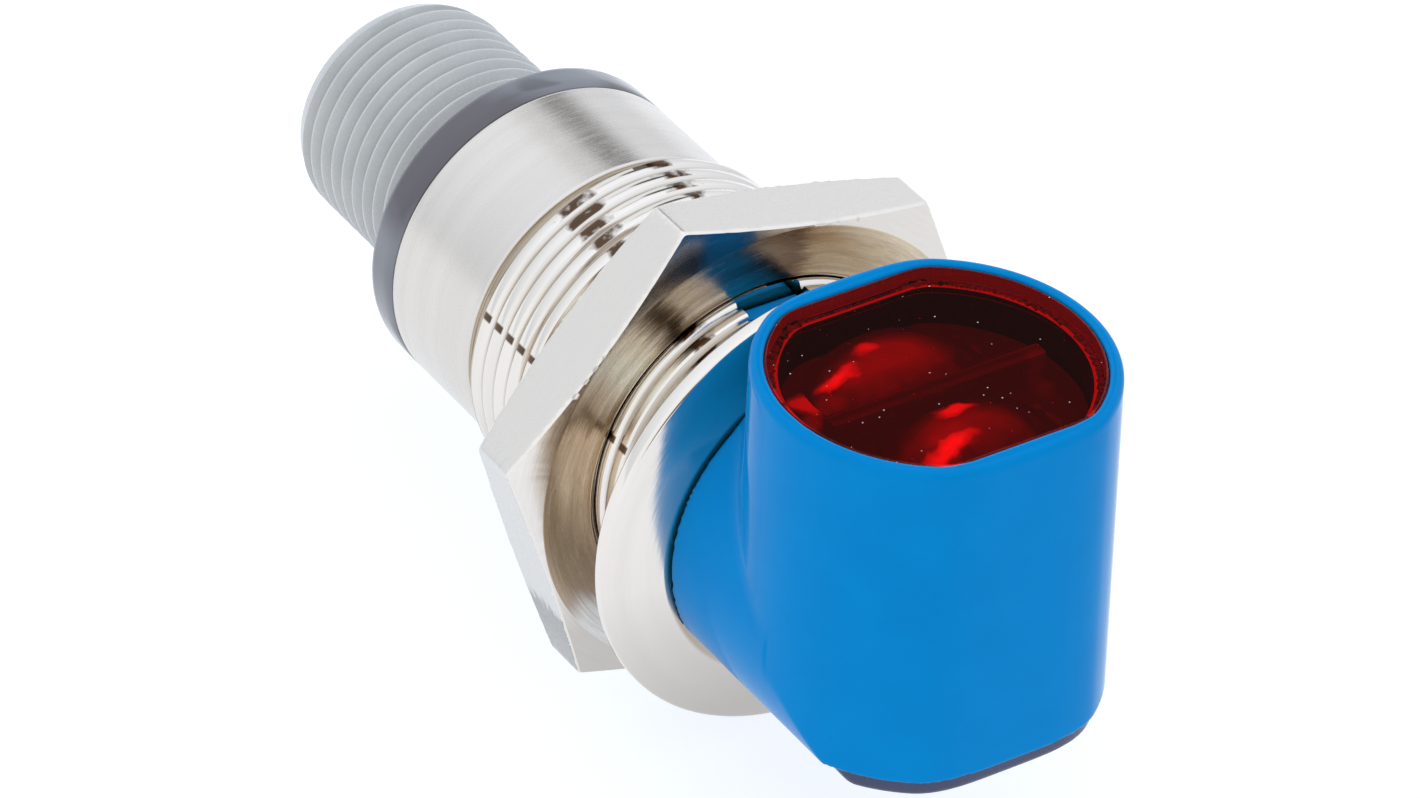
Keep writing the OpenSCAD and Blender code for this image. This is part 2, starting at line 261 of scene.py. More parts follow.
def nickel(name, marks, rough_lo, rough_hi, dark=0.96, depth=0.004, ring=True, painted_reflection=None,
           streak=0.95, painted_light=False, tone=1.0):
    """Bright nickel plate over turned or drawn brass."""
    f = Finish(name, Metallic=1.0)
    fine = f.noise(marks, 6.0, f.polar() if ring else None, 0.7)
    stain = f.noise(1.3, 3.0, f.polar() if ring else None)
    light = tuple(v * tone for v in NICKEL)
    plate = f.mix(f.between(stain, 0.4, 0.6), tuple(v * dark for v in light), light)
    # The ramp paints reflections round the axis in place of the plate's own colour.
    if painted_reflection:
        drift = f.between(f.noise(3.0, 5.0, f.polar(), 0.7), 0.3, 0.7, -0.012, 0.012)
        plate = f.ramp(f.math("ADD", f.turn(), drift), painted_reflection)
        groove = f.between(f.noise(5.0, 4.0, f.polar(), 0.65), 0.34, 0.60, streak, 1.0)
        plate = f.mix(groove, STREAK_BROWN, plate)
    # painted_light: painted shade in the thread's roots, painted dark reflections on the crests,
    # and painted shade underneath.
    if painted_light:
        crest = f.between(f.rho(), 8.70, 8.86)
        plate = f.mix(crest, GROOVE_SHADE_BROWN, plate)
        # Painted dark reflections on the crests.
        plate = f.mix(painted_crest_reflections(f), plate, CREST_REFLECTION_BROWN)
        # Painted shade: darker towards the underside, where the plate mirrors the shaded floor.
        shaded_underneath = tuple(v * 0.68 for v in NICKEL)
        plate = f.mix(f.between(f.along(2), -10.0, -1.0), shaded_underneath, plate)
    f.put("Base Color", plate)
    f.put("Roughness", f.between(fine, 0.3, 0.7, rough_lo, rough_hi))
    f.bump(fine, depth)
    return f.material


# The rows of painted dark reflections on the crests, in degrees about the thread axis.
SLANTED_ROW = 120.5
TOP_ROW = 82.0
DOT_ROW = 157.0


def painted_crest_reflections(f):
    """Painted dark reflections on the thread's crests, in three brown rows that run along the
    sleeve.
    """
    y, rho = f.along(1), f.rho()
    degrees = f.math("MULTIPLY", f.turn(), 360.0)
    ragged = f.math("ADD", degrees, f.between(f.noise(1.1, 5.0), 0.3, 0.7, -4.5, 4.5))
    leaning = f.math("ADD", ragged, f.math("MULTIPLY", y, 0.5))

    def off(place, row):
        return f.math("ABSOLUTE", f.math("SUBTRACT", place, row))

    slanted = f.math("MULTIPLY", f.between(off(leaning, SLANTED_ROW), 2.0, 6.0, 1.0, 0.0),
                   f.between(y, 5.0, 9.0, 1.0, 0.97))
    top = f.math("MULTIPLY", f.between(off(ragged, TOP_ROW), 1.5, 5.5, 1.0, 0.0),
                 f.between(y, 11.5, 12.0))
    dots = f.between(off(degrees, DOT_ROW), 0.9, 1.5, 0.95, 0.0)
    marks = f.math("MAXIMUM", f.math("MAXIMUM", slanted, top), dots)
    crest = f.math("MULTIPLY", f.between(rho, THREAD_R - 0.05, THREAD_R - 0.02),
                   f.between(rho, THREAD_R + 0.02, THREAD_R + 0.05, 1.0, 0.0))
    threaded = f.math("MULTIPLY", f.between(y, 0.1, 0.2), f.between(y, 16.0, 16.3, 1.0, 0.0))
    return f.math("MULTIPLY", f.math("MULTIPLY", marks, crest), threaded)


def moulded(name, light, dark, rough, grain=0.003, **inputs):
    """Moulded plastic with a fine grain and slow cloudiness."""
    f = Finish(name, **inputs)
    cloud = f.noise(0.35, 4.0)
    fine = f.noise(9.0, 3.0)
    f.put("Base Color", f.mix(f.between(cloud, 0.3, 0.7), dark, light))
    f.put("Roughness", f.between(fine, 0.3, 0.7, rough - 0.05, rough + 0.06))
    f.bump(fine, grain)
    return f.material


def red_window():
    f = Finish("red_window", IOR=1.49, Specular_IOR_Level=0.03, Roughness=0.03,
               Specular_Tint=(0.6, 0.02, 0.02))
    cells = f.add("ShaderNodeTexVoronoi", {"Vector": f.mm, "Scale": 1.5})
    speck = f.math("LESS_THAN", cells.outputs["Distance"], 0.050)
    haze = f.between(f.noise(0.9, 5.0), 0.66, 0.85)
    f.put("Base Color", f.mix(speck, (0.78, 0.002, 0.003), (0.75, 0.6, 0.6)))
    f.put("Transmission Weight", f.math("SUBTRACT", 1.0, speck, True))
    f.put("Roughness", f.between(haze, 0.0, 1.0, 0.02, 0.16))
    return f.material


def light_ring():
    """Smoked plastic that is paler in four broad places round it."""
    f = Finish("smoked_ring", Roughness=0.12, Coat_Weight=0.3, Coat_Roughness=0.06)
    wave = f.math("SINE", f.math("ADD", f.math("MULTIPLY", f.angle(), 4.0), f.math(
        "MULTIPLY", f.noise(0.25, 0.0), 4.0)))
    pale = f.between(wave, 0.2, 1.0)
    f.put("Base Color", f.mix(pale, (0.083, 0.073, 0.084), (0.165, 0.17, 0.185)))
    fine = f.noise(5.0, 3.0)
    f.put("Roughness", f.between(fine, 0.3, 0.7, 0.1, 0.2))
    f.bump(fine, 0.002)
    return f.material


# Painted glints on the optics, drawn as colour and emission: x, y, half length, half width,
# strength.
LENS_GLINTS = (
    (-2.9, -5.8, 1.1, 0.75, 1.2), (-1.0, -5.1, 0.9, 0.6, 0.7), (-0.6, -6.2, 3.8, 2.0, 0.5),
    (0.0, -10.9, 1.2, 0.55, 1.2), (-1.9, -13.3, 1.8, 0.8, 1.3), (-0.6, -12.3, 3.2, 2.0, 0.45))
CARRIER_GLINTS = (
    (-4.8, -6.1, 0.8, 1.0, 1.0), (-5.2, -7.4, 0.7, 0.9, 0.45), (5.2, -10.0, 0.8, 1.1, 0.12))


def glinting(name, glints, dull, bright, shade, glow, **inputs):
    """Smooth plastic behind the window with painted glints: lighter colour and emission where it
    would catch the light, and a faint painted glow (shade) elsewhere.
    """
    f = Finish(name, Emission_Color=(1.0, 0.9, 0.9), **inputs)
    level = f.spots(glints)
    f.put("Base Color", f.mix(f.between(level, 0.0, 0.8), dull, bright))
    f.put("Emission Strength", f.between(level, 0.45, 1.6, shade, glow))
    f.put("Roughness", f.between(f.noise(4.0, 2.0), 0.3, 0.7, 0.08, 0.16))
    return f.material


MATERIALS = {}


def build_materials():
    m = MATERIALS
    m["nickel_turned"] = nickel("nickel_turned", 7.0, 0.06, 0.16, depth=0.002)
    m["nickel_band"] = nickel("nickel_band", 9.0, 0.20, 0.32, depth=0.004, tone=0.88)
    m["nickel_face"] = nickel("nickel_face", 8.0, 0.16, 0.30, depth=0.006, painted_reflection=PAINTED_FACE_REFLECTION,
                              streak=0.68)
    m["nickel_chamfer"] = nickel("nickel_chamfer", 7.0, 0.12, 0.24, depth=0.003,
                                 painted_reflection=PAINTED_CHAMFER_REFLECTION)
    m["nickel_burr"] = nickel("nickel_burr", 9.0, 0.25, 0.40, 1.0, 0.001, ring=False)
    m["nickel_thread"] = nickel("nickel_thread", 7.0, 0.06, 0.16, depth=0.002, painted_light=True)
    m["nickel_drawn"] = nickel("nickel_drawn", 6.0, 0.24, 0.36, depth=0.003, ring=False,
                               painted_reflection=PAINTED_FLAT_REFLECTION, streak=0.98)
    m["blue_plastic"] = moulded("blue_plastic", (0.0, 0.212, 0.53), (0.0, 0.198, 0.505), 0.34,
                                Specular_IOR_Level=0.0, Coat_Weight=1.0, Coat_IOR=1.11,
                                Coat_Roughness=0.1, Sheen_Weight=0.15, Sheen_Roughness=0.1)
    m["smoked_cover"] = moulded("smoked_cover", (0.035, 0.042, 0.10), (0.028, 0.034, 0.088), 0.3)
    m["red_window"] = red_window()
    # window_edge is a maroon band with a faint painted glow; window_glow is a painted glowing red
    # line round the window's bottom.
    m["window_edge"] = moulded("window_edge", (0.30, 0.03, 0.04), (0.22, 0.02, 0.03), 0.25,
                               Emission_Color=(1.0, 0.12, 0.15), Emission_Strength=0.05)
    m["window_glow"] = moulded("window_glow", (0.80, 0.02, 0.02), (0.60, 0.01, 0.01), 0.2,
                               Emission_Color=(1.0, 0.1, 0.1), Emission_Strength=0.16)
    m["black_plastic"] = moulded("black_plastic", (0.012, 0.011, 0.011), (0.008, 0.008, 0.008), 0.3)
    m["clear_lens"] = glinting("clear_lens", LENS_GLINTS, (0.10, 0.08, 0.08),
                               (0.9, 0.85, 0.85), 0.015, 1.0, Transmission_Weight=0.2, IOR=1.49)
    m["carrier_black"] = glinting("carrier_black", CARRIER_GLINTS, (0.012, 0.011, 0.011),
                                  (0.75, 0.6, 0.6), 0.03, 0.7)
    m["smoked_ring"] = light_ring()
    m["grey_translucent"] = moulded("grey_translucent", (0.50, 0.50, 0.485), (0.45, 0.452, 0.44),
                                    0.24, 0.001, Subsurface_Weight=0.25, Subsurface_Scale=0.0012,
                                    Subsurface_Radius=(1.0, 1.0, 1.0))
    m["filter_film"] = moulded("filter_film", (0.05, 0.05, 0.055), (0.03, 0.03, 0.035), 0.1)
    m["circuit_board"] = moulded("circuit_board", (0.02, 0.14, 0.05), (0.015, 0.1, 0.04), 0.35)
    m["chip_package"] = moulded("chip_package", (0.03, 0.03, 0.032), (0.02, 0.02, 0.022), 0.5)
    m["ceramic_parts"] = moulded("ceramic_parts", (0.42, 0.33, 0.22), (0.35, 0.27, 0.18), 0.4)
    m["led_resin"] = moulded("led_resin", (0.8, 0.75, 0.55), (0.7, 0.66, 0.5), 0.2)
    m["tinned_steel"] = moulded("tinned_steel", (0.65, 0.65, 0.66), (0.55, 0.55, 0.56), 0.3,
                                Metallic=1.0)
    m["flex_film"] = moulded("flex_film", (0.5, 0.22, 0.05), (0.42, 0.18, 0.04), 0.35)
    m["contact_insert"] = moulded("contact_insert", (0.04, 0.042, 0.048),
                                  (0.03, 0.032, 0.036), 0.45)
    m["gold_contact"] = moulded("gold_contact", (0.83, 0.6, 0.24), (0.78, 0.54, 0.2), 0.2,
                                Metallic=1.0)
    m["seal_rubber"] = moulded("seal_rubber", (0.015, 0.015, 0.015), (0.01, 0.01, 0.01), 0.55)


# ---------------------------------------------------------------- meshes

def mesh_piece(name, verts, faces, materials, body, nodes, merge=True, sharp=38):
    """Makes one closed mesh piece and ties it to its CAD body, nodes and finish."""
    mesh = bpy.data.meshes.new(name)
    mesh.from_pydata((np.asarray(verts) * MM).tolist(), [], [list(map(int, q)) for q in faces])
    for key in materials:
        mesh.materials.append(MATERIALS[key])
    bm = bmesh.new()
    bm.from_mesh(mesh)
    if merge:
        bmesh.ops.remove_doubles(bm, verts=bm.verts, dist=1e-6)
        bmesh.ops.dissolve_degenerate(bm, edges=bm.edges, dist=1e-7)
    if bm.calc_volume(signed=True) < 0:
        bmesh.ops.reverse_faces(bm, faces=bm.faces)
    bm.to_mesh(mesh)
    bm.free()
    mesh.shade_smooth()
    mesh.set_sharp_from_angle(angle=math.radians(sharp))
    piece = bpy.data.objects.new(name, mesh)
    bpy.context.scene.collection.objects.link(piece)
    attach(piece, body)
    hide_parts(*nodes)
    return piece


def ring_mesh(profile, angles, centre=(0, 0, 0), axis="y"):
    """Mesh of a closed loop of (r, along) at each of n + 1 angles, the last over the first.

    profile has the shape (n + 1, k, 2).
    """
    n, k = profile.shape[0] - 1, profile.shape[1]
    r, along = profile[..., 0], profile[..., 1]
    c, s = np.cos(angles)[:, None] * r, np.sin(angles)[:, None] * r
    order = (c, along, s) if axis == "y" else (c, s, along)
    verts = np.stack(order, -1).reshape(-1, 3) + np.array(centre)
    i, j = np.meshgrid(np.arange(n), np.arange(k), indexing="ij")
    i, j = i.ravel(), j.ravel()
    jn = (j + 1) % k
    faces = np.stack([i * k + j, (i + 1) * k + j, (i + 1) * k + jn, i * k + jn], -1)
    return verts, faces


def lathe(loop, n):
    """A plain turned ring about the thread axis from a closed loop of (r, y)."""
    angles = np.linspace(0, TAU, n + 1)
    return ring_mesh(np.broadcast_to(np.array(loop, float), (n + 1, len(loop), 2)), angles)


def joined(*parts):
    """Several (verts, faces) as one."""
    verts, faces, base = [], [], 0
    for v, f in parts:
        verts.append(np.asarray(v, float))
        faces.extend([[int(i) + base for i in q] for q in f])
        base += len(v)
    return np.concatenate(verts), faces


# Thread forms: distance from the crest in turns, and depth below the crest there.
WORN_THREAD = ((0.0, 0.25, 0.31, 0.44, 0.48, 0.5), (0.0, 0.004, 0.045, 0.27, 0.31, 0.315))
SHARP_THREAD = ((0.0, 0.05, 0.076, 0.36, 0.42, 0.5), (0.0, 0.006, 0.032, 0.515, 0.585, 0.6134))


def thread_depth(form, turns):
    """Depth below the crest, turns being 0 on a crest."""
    off = np.abs(turns - np.round(turns))
    return np.interp(off, *form) * PITCH


def thread_rows(form, angles, y_start, y_end, crest_y, radius):
    """Rows of (r, y) that follow the helix at each angle, clamped to the ends."""
    first = math.floor((y_start - crest_y) / PITCH) - 1
    last = math.ceil((y_end - crest_y) / PITCH) + 2
    half = np.array(form[0])
    places = np.concatenate([-half[-2:0:-1], half])
    turns = (np.arange(first, last)[:, None] + places[None, :]).ravel()
    lead = angles[:, None] / TAU
    y = np.clip(crest_y + PITCH * (turns[None, :] - lead), y_start, y_end)
    return np.stack([radius(y, (y - crest_y) / PITCH + lead), y], -1)


def with_rows(thread, before, after):
    """The thread's rows between two plain profiles of (r, y)."""
    n = thread.shape[0]
    head = np.broadcast_to(np.array(before, float), (n, len(before), 2))
    tail = np.broadcast_to(np.array(after, float), (n, len(after), 2))
    return np.concatenate([head, thread, tail], 1)


# ---------------------------------------------------------------- distance fields

def smin(a, b, k):
    """The smaller of two distances, rounded over a width k."""
    h = np.clip(0.5 + 0.5 * (b - a) / k, 0, 1)
    return b + (a - b) * h - k * h * (1 - h)


def smax(a, b, k):
    """The larger of two distances, rounded over a width k."""
    return -smin(-a, -b, k)


def box_field(x, y, z, lo, hi, edge=0.1):
    d = np.abs(x - (lo[0] + hi[0]) / 2) - (hi[0] - lo[0]) / 2
    for c, a, b in ((y, lo[1], hi[1]), (z, lo[2], hi[2])):
        d = smax(d, np.abs(c - (a + b) / 2) - (b - a) / 2, edge)
    return d


def tube_field(x, y, z, r, y0, y1, edge=0.1):
    """A cylinder along the thread axis."""
    return smax(np.hypot(x, z) - r, np.abs(y - (y0 + y1) / 2) - (y1 - y0) / 2, edge)


def flatted_field(x, y, z, r, f, z0, z1, corner=0.5, top=0.1, low=0.1, draft=0.0):
    """A column on the optical axis, round with two flats across Y."""
    q = y - HEAD_Y
    wide = r + draft * (COLUMN_TOP - z) / (COLUMN_TOP - COLUMN_LOW) if draft else r
    side = smax(np.hypot(x, q) - wide, np.abs(q) - f, corner)
    return smax(smax(side, z - z1, top), z0 - z, low)


CORNERS = [(a, b, c) for a in (0, 1) for b in (0, 1) for c in (0, 1)]


def field_mesh(field, lo, hi, step):
    """Surface net of field(x, y, z) = 0, with its points pulled onto the surface."""
    axes = [np.arange(a, b + step, step) for a, b in zip(lo, hi)]
    d = field(*np.meshgrid(*axes, indexing="ij", sparse=True))
    inside = d < 0
    shape = np.array(d.shape) - 1
    view = {c: tuple(slice(c[k], shape[k] + c[k]) for k in range(3)) for c in CORNERS}
    count = sum(inside[view[c]].astype(np.int8) for c in CORNERS)
    active = (count > 0) & (count < 8)
    index = np.full(tuple(shape), -1, np.int64)
    index[active] = np.arange(active.sum())
    where = np.argwhere(active)
    value = {c: d[view[c]][active] for c in CORNERS}
    total, hits = np.zeros((len(where), 3)), np.zeros(len(where))
    for a in CORNERS:
        for k in range(3):
            if a[k]:
                continue
            b = tuple(a[m] + (m == k) for m in range(3))
            va, vb = value[a], value[b]
            cross = (va < 0) != (vb < 0)
            t = np.where(cross, va / np.where(cross, va - vb, 1), 0)
            point = np.tile(np.array(a, float), (len(where), 1))
            point[:, k] = t
            total += point * cross[:, None]
            hits += cross
    verts = np.array([axes[k][0] for k in range(3)]) + (where + total / hits[:, None]) * step
    for _ in range(3):
        x, y, z = verts.T
        e = step * 0.05
        here = field(x, y, z)
        slope = np.stack([field(x + e, y, z) - here, field(x, y + e, z) - here,
                          field(x, y, z + e) - here], -1) / e
        size = np.maximum((slope ** 2).sum(-1), 0.2)
        verts = verts - slope * np.clip(here / size, -step * 0.3, step * 0.3)[:, None]
    faces = []
    for k in range(3):
        u, v = (k + 1) % 3, (k + 2) % 3
        span = [slice(1, d.shape[m] - 1) for m in range(3)]
        span[k] = slice(0, d.shape[k] - 1)
        nxt = list(span)
        nxt[k] = slice(1, d.shape[k])
        flip = inside[tuple(span)] != inside[tuple(nxt)]
        at = np.argwhere(flip) + np.array([s.start for s in span])
        out = inside[tuple(at.T)]
        quad = []
        for du, dv in ((1, 1), (0, 1), (0, 0), (1, 0)):
            cell = at.copy()
            cell[:, u] -= du
            cell[:, v] -= dv
            quad.append(index[tuple(cell.T)])
        quad = np.stack(quad, -1)
        quad[~out] = quad[~out][:, ::-1]
        faces.append(quad)
    return verts, np.concatenate(faces)


# ---------------------------------------------------------------- sleeve and nut

NOTCH_LO, NOTCH_HI = (-1.75, -3.0, 6.0), (1.75, 4.4, 14.0)


def notch(piece):
    """Cuts the key notch through the collar and the first turns."""
    cutter = bpy.data.meshes.new("notch")
    bm = bmesh.new()
    bmesh.ops.create_cube(bm, size=1.0)
    for v in bm.verts:
        v.co = Vector([hi if c > 0 else lo for c, lo, hi in zip(v.co, NOTCH_LO, NOTCH_HI)]) * MM
    bm.to_mesh(cutter)
    bm.free()
    tool = bpy.data.objects.new("notch", cutter)
    bpy.context.scene.collection.objects.link(tool)
    cut = piece.modifiers.new("notch", "BOOLEAN")
    cut.operation = "DIFFERENCE"
    cut.solver = "EXACT"
    cut.object = tool
    bpy.context.view_layer.update()
    graph = bpy.context.evaluated_depsgraph_get()
    done = bpy.data.meshes.new_from_object(piece.evaluated_get(graph))
    piece.modifiers.clear()
    old = piece.data
    piece.data = done
    bpy.data.meshes.remove(old)
    bpy.data.objects.remove(tool)
    bpy.data.meshes.remove(cutter)
    done.set_sharp_from_angle(angle=math.radians(38))


# Plain profiles of (r, y): the collar in front of the thread, and the band behind it.
COLLAR = [(7.5, -1.45), (7.55, -1.5), (8.85, -1.5), (8.93, -1.49), (11.6, -0.87), (11.72, -0.82),
          (11.79, -0.7), (11.8, -0.62), (11.8, -0.2), (11.77, -0.1), (11.69, -0.02), (11.6, 0.0),
          (8.62, 0.0), (8.6, 0.02)]
BAND = [(8.33, 16.3), (8.33, 16.6), (8.42, 16.68), (8.47, 16.7), (BAND_R, 16.74), (BAND_R, 16.9),
        (BAND_R, 20.0), (BAND_R, 23.5), (BAND_R, 23.58), (8.47, 23.66), (8.4, 23.7), (7.55, 23.7),
        (7.5, 23.65), (7.5, 12.0)]


def threaded_sleeve():
    angles = np.linspace(0, TAU, 361)

    def radius(y, turns):
        r = THREAD_R - thread_depth(WORN_THREAD, turns)
        r = np.minimum(r, 8.35 + (16.25 - y) * 1.3)
        return np.minimum(r, 8.6 + (y - 0.05) * 1.2)

    rows = thread_rows(WORN_THREAD, angles, 0.05, THREAD_END, THREAD_Y0, radius)
    verts, faces = ring_mesh(with_rows(rows, COLLAR, BAND), angles)
    piece = mesh_piece("threaded_sleeve", verts, faces, ["nickel_thread", "nickel_band"], "housing",
                       ["threaded_sleeve"])
    for p in piece.data.polygons:
        if p.center.y > BAND_Y * MM:
            p.material_index = 1
    notch(piece)
    return piece


def hex_angles():
    """Angles that are closer together near the corners and hold each corner exactly."""
    near = np.array([0, 0.2, 0.45, 0.8, 1.2, 1.7])
    side = np.concatenate([near, np.arange(2.25, 58.0, 0.5), 60 - near[:0:-1]])
    return NUT_ANGLE + np.radians(np.concatenate([side + 60 * k for k in range(6)] + [[360.0]]))


NUT_FINISHES = ["nickel_face", "nickel_drawn", "nickel_turned", "nickel_chamfer", "nickel_burr"]


def hex_nut():
    angles = hex_angles()
    n = len(angles)
    half_side = math.radians(30)
    flat = (angles - NUT_ANGLE - half_side) % (2 * half_side)
    flat = np.minimum(flat, 2 * half_side - flat)
    corner = NUT_AF / 2 / math.cos(half_side)
    side = smin(NUT_AF / 2 / np.cos(flat), np.full(n, corner - 0.03), 0.06)
    fall = np.maximum(side - NUT_FACE_R, 0) * NUT_SLOPE
    end = NUT_Y + NUT_H
    rng = np.random.default_rng(7)

    def burr(size):
        v = rng.normal(0, 1, n - 1)
        v = np.convolve(np.concatenate([v[-2:], v, v[:2]]), [0.2, 0.3, 0.3, 0.2], "same")[2:-2]
        chip = rng.random(n - 1) > 0.93
        v = (v + 2.0 * chip * rng.random(n - 1)) * size
        return np.append(v, v[0])

    def row(r, y):
        return np.stack([np.broadcast_to(r, (n,)), np.broadcast_to(y, (n,))], -1)[:, None, :]

    def bore(y, turns):
        r = THREAD_R + 0.05 - np.minimum(thread_depth(WORN_THREAD, turns), 0.26)
        r = np.maximum(r, 9.25 - (y - NUT_Y) * 1.0)
        return np.maximum(r, 9.25 - (end - y) * 1.0)

    def face(y, inward, ragged):
        """Rows from the bore's mouth out to the flats, on the face at y."""
        rim = np.minimum(NUT_FACE_R - 0.06, side - NUT_BEVEL)
        slope = np.maximum(fall - NUT_BEVEL * NUT_SLOPE, 0.015)
        return [row(NUT_MOUTH_R, y), row(NUT_MOUTH_R + 0.05, y), row(rim - 1.0, y), row(rim, y),
                row(np.minimum(NUT_FACE_R + 0.02, side - NUT_BEVEL * 0.6), y + inward * 0.012),
                row(side - NUT_BEVEL, y + inward * slope + ragged * 0.5),
                row(side - 0.02 + np.clip(ragged, -0.02, 0.03),
                    y + inward * (fall + 0.06) + ragged),
                row(side, y + inward * (fall + 0.14))]

    inner = thread_rows(WORN_THREAD, angles, NUT_Y + 0.02, end - 0.02, THREAD_Y0, bore)[:, ::-1]
    front, back = face(NUT_Y, 1, burr(0.022)), face(end, -1, burr(0.022))
    flats = [row(side, NUT_Y + fall + 0.3), row(side, NUT_Y + NUT_H / 2),
             row(side, end - fall - 0.3)]
    verts, faces = ring_mesh(np.concatenate(front + flats + back[::-1] + [inner], 1), angles)
    piece = mesh_piece("hex_nut", verts, faces, NUT_FINISHES, "nut",
                       ["hex_nut", "nut_thread"], sharp=30)
    for p in piece.data.polygons:
        c = p.center / MM
        r, slant = math.hypot(c.x, c.z), abs(p.normal.y)
        if r < 9.2:
            key = "nickel_turned"
        elif r > 11.0 and slant < 0.3:
            key = "nickel_drawn"
        elif r > 11.0 and slant < 0.93:
            key = "nickel_burr"
        elif r > NUT_FACE_R:
            key = "nickel_chamfer"
        else:
            key = "nickel_face"
        p.material_index = NUT_FINISHES.index(key)
    return piece


# ---------------------------------------------------------------- head

def under_round(x, y, z, r):
    """The head's underside is round about the thread axis."""
    return np.hypot(x, np.minimum(z, 0)) - r


# The key that sits in the sleeve's notch: low corner, high corner, rounding.
KEY_BOXES = (((-1.65, -1.7, 7.0), (1.65, 4.3, 8.2), 0.15),
             ((-1.65, -2.6, 7.0), (1.65, -0.1, 11.4), 0.2))


def head_field(x, y, z):
    q = y - HEAD_Y
    column = flatted_field(x, y, z, COLUMN_R, COLUMN_F, COLUMN_LOW, COLUMN_TOP, 0.8, 0.42, 0.1,
                           COLUMN_DRAFT)
    neck = tube_field(x, y, z, NECK_R, HEAD_Y, NECK_Y - 0.04, 0.03)
    alike = x * x / np.maximum(np.hypot(x, q) * np.hypot(x, z), 1e-3)
    body = smin(column, neck, 0.05 + 1.8 * np.clip(1 - alike, 0, 1))
    body = smax(body, under_round(x, y, z, NECK_R), 0.04)
    body = smax(body, COLUMN_LOW - z, 0.12)
    step = smax(tube_field(x, y, z, NECK_R - 0.08, -3, NECK_Y, 0.05), COLUMN_LOW - z, 0.05)
    d = np.minimum(body, step)
    d = np.minimum(d, tube_field(x, y, z, SPIGOT_R, -2.5, 4.0, 0.15))
    for lo, hi, edge in KEY_BOXES:
        d = np.minimum(d, box_field(x, y, z, lo, hi, edge))
    cavity = flatted_field(x, y, z, CAVITY_R, CAVITY_F, COLUMN_LOW - 1, WINDOW_SEAT,
                           0.5, 0.05, 0.05)
    seat = flatted_field(x, y, z, WINDOW_R + FIT_GAP, WINDOW_F + FIT_GAP, WINDOW_SEAT,
                         COLUMN_TOP + 1, 0.5, 0.05, 0.05)
    bore = tube_field(x, y, z, SPIGOT_BORE_R, HEAD_Y, 5.0, 0.05)
    hollow = np.minimum(np.minimum(cavity, seat), bore)
    d = smax(d, -hollow, 0.16)
    groove = smax(np.abs(y - SEAL_Y) - SEAL_HALF, SEAL_R - np.hypot(x, z), 0.05)
    return smax(d, -groove, 0.05)


def head_shell():
    verts, faces = field_mesh(head_field, (-9.0, -17.6, -4.3), (9.0, 4.4, 13.7), 0.15)
    return mesh_piece("head_shell", verts, faces, ["blue_plastic"], "housing",
                      ["head_shell"], merge=False, sharp=50)


def cover_field(x, y, z):
    plate = flatted_field(x, y, z, COLUMN_R - COVER_INSET, COLUMN_F - COVER_INSET, -9, 0, 0.8, 0.1,
                          0.1, COLUMN_DRAFT)
    plate = smax(plate, under_round(x, y, z, NECK_R - COVER_INSET), 0.1)
    root = tube_field(x, y, z, NECK_R - COVER_INSET, HEAD_Y, NECK_Y - 0.1, 0.1)
    wedge = (COVER_LOW - z) - np.maximum(y - WEDGE_Y, 0) * WEDGE_SLOPE
    wedge = wedge / np.where(y > WEDGE_Y, math.hypot(1, WEDGE_SLOPE), 1)
    d = smax(np.minimum(plate, root), wedge, 0.25)
    d = np.maximum(d, y - (NECK_Y - 0.1))
    return np.maximum(d, z - COLUMN_LOW)


def head_cover():
    verts, faces = field_mesh(cover_field, (-9.0, -17.6, -7.7), (9.0, -1.3, -3.6), 0.15)
    return mesh_piece("head_cover", verts, faces, ["smoked_cover"], "housing",
                      ["head_cover"], merge=False, sharp=50)


def flatted_ring(r, f, angles):
    """Distance from the optical axis to a round outline with two flats across Y."""
    return smin(np.full(len(angles), r), f / np.maximum(np.abs(np.sin(angles)), 1e-3), 0.35)


def window_radius(angle):
    """The window's outline without the rounding at its corners."""
    return min(WINDOW_R, WINDOW_F / max(abs(math.sin(angle)), 1e-3))


# The window's rows: share of its outline, and height.
WINDOW_ROWS = (
    [(k, WINDOW_TOP) for k in (0.0, 0.35, 0.7, 0.975, 0.985)]
    + [(0.995, 13.185), (1.0, 13.13), (1.0, 12.4), (1.0, 11.75), (1.0, 11.67), (0.995, 11.615)]
    + [(k, WINDOW_SEAT) for k in (0.985, 0.975, 0.92, 0.7, 0.35, 0.0)])


WINDOW_FINISHES = ["red_window", "window_edge", "window_glow"]


def front_window():
    angles = np.linspace(0, TAU, 241)
    r = flatted_ring(WINDOW_R, WINDOW_F, angles)
    profile = np.stack([np.stack([r * k, np.full(len(r), z)], -1) for k, z in WINDOW_ROWS], 1)
    verts, faces = ring_mesh(profile, angles, (0, HEAD_Y, 0), "z")
    piece = mesh_piece("front_window", verts, faces, WINDOW_FINISHES, "housing",
                       ["front_window"])
    for p in piece.data.polygons:
        c = p.center / MM
        outer = math.hypot(c.x, c.y - HEAD_Y) / window_radius(math.atan2(c.y - HEAD_Y, c.x))
        # The ring near the bottom carries the painted glow line, the outer side the maroon edge
        # with its faint painted glow.
        if c.z < 11.65 and 0.93 < outer < 0.98:
            p.material_index = WINDOW_FINISHES.index("window_glow")
        elif outer > 0.988 and c.z < 13.1:
            p.material_index = WINDOW_FINISHES.index("window_edge")
    return piece


# ---------------------------------------------------------------- optics

LENS_D = 8.6
LENS_W = 5.4
CHAMBER_Y = 3.2
LENS_Z = 8.35
LENS_TOP = 11.1
DOME_R = 6.0


def optic_field(x, y, z, side, d, width, rim, z0, z1, edge=0.1):
    """A disc of diameter d cut to a width and clipped by the carrier's round rim."""
    cy = HEAD_Y + side * CHAMBER_Y
    slab = box_field(x, y, z, (-d, cy - width / 2, z0), (d, cy + width / 2, z1), edge)
    disc = smax(slab, np.hypot(x, y - cy) - d / 2, edge)
    return smax(disc, np.hypot(x, y - HEAD_Y) - (CAVITY_R - rim), edge)


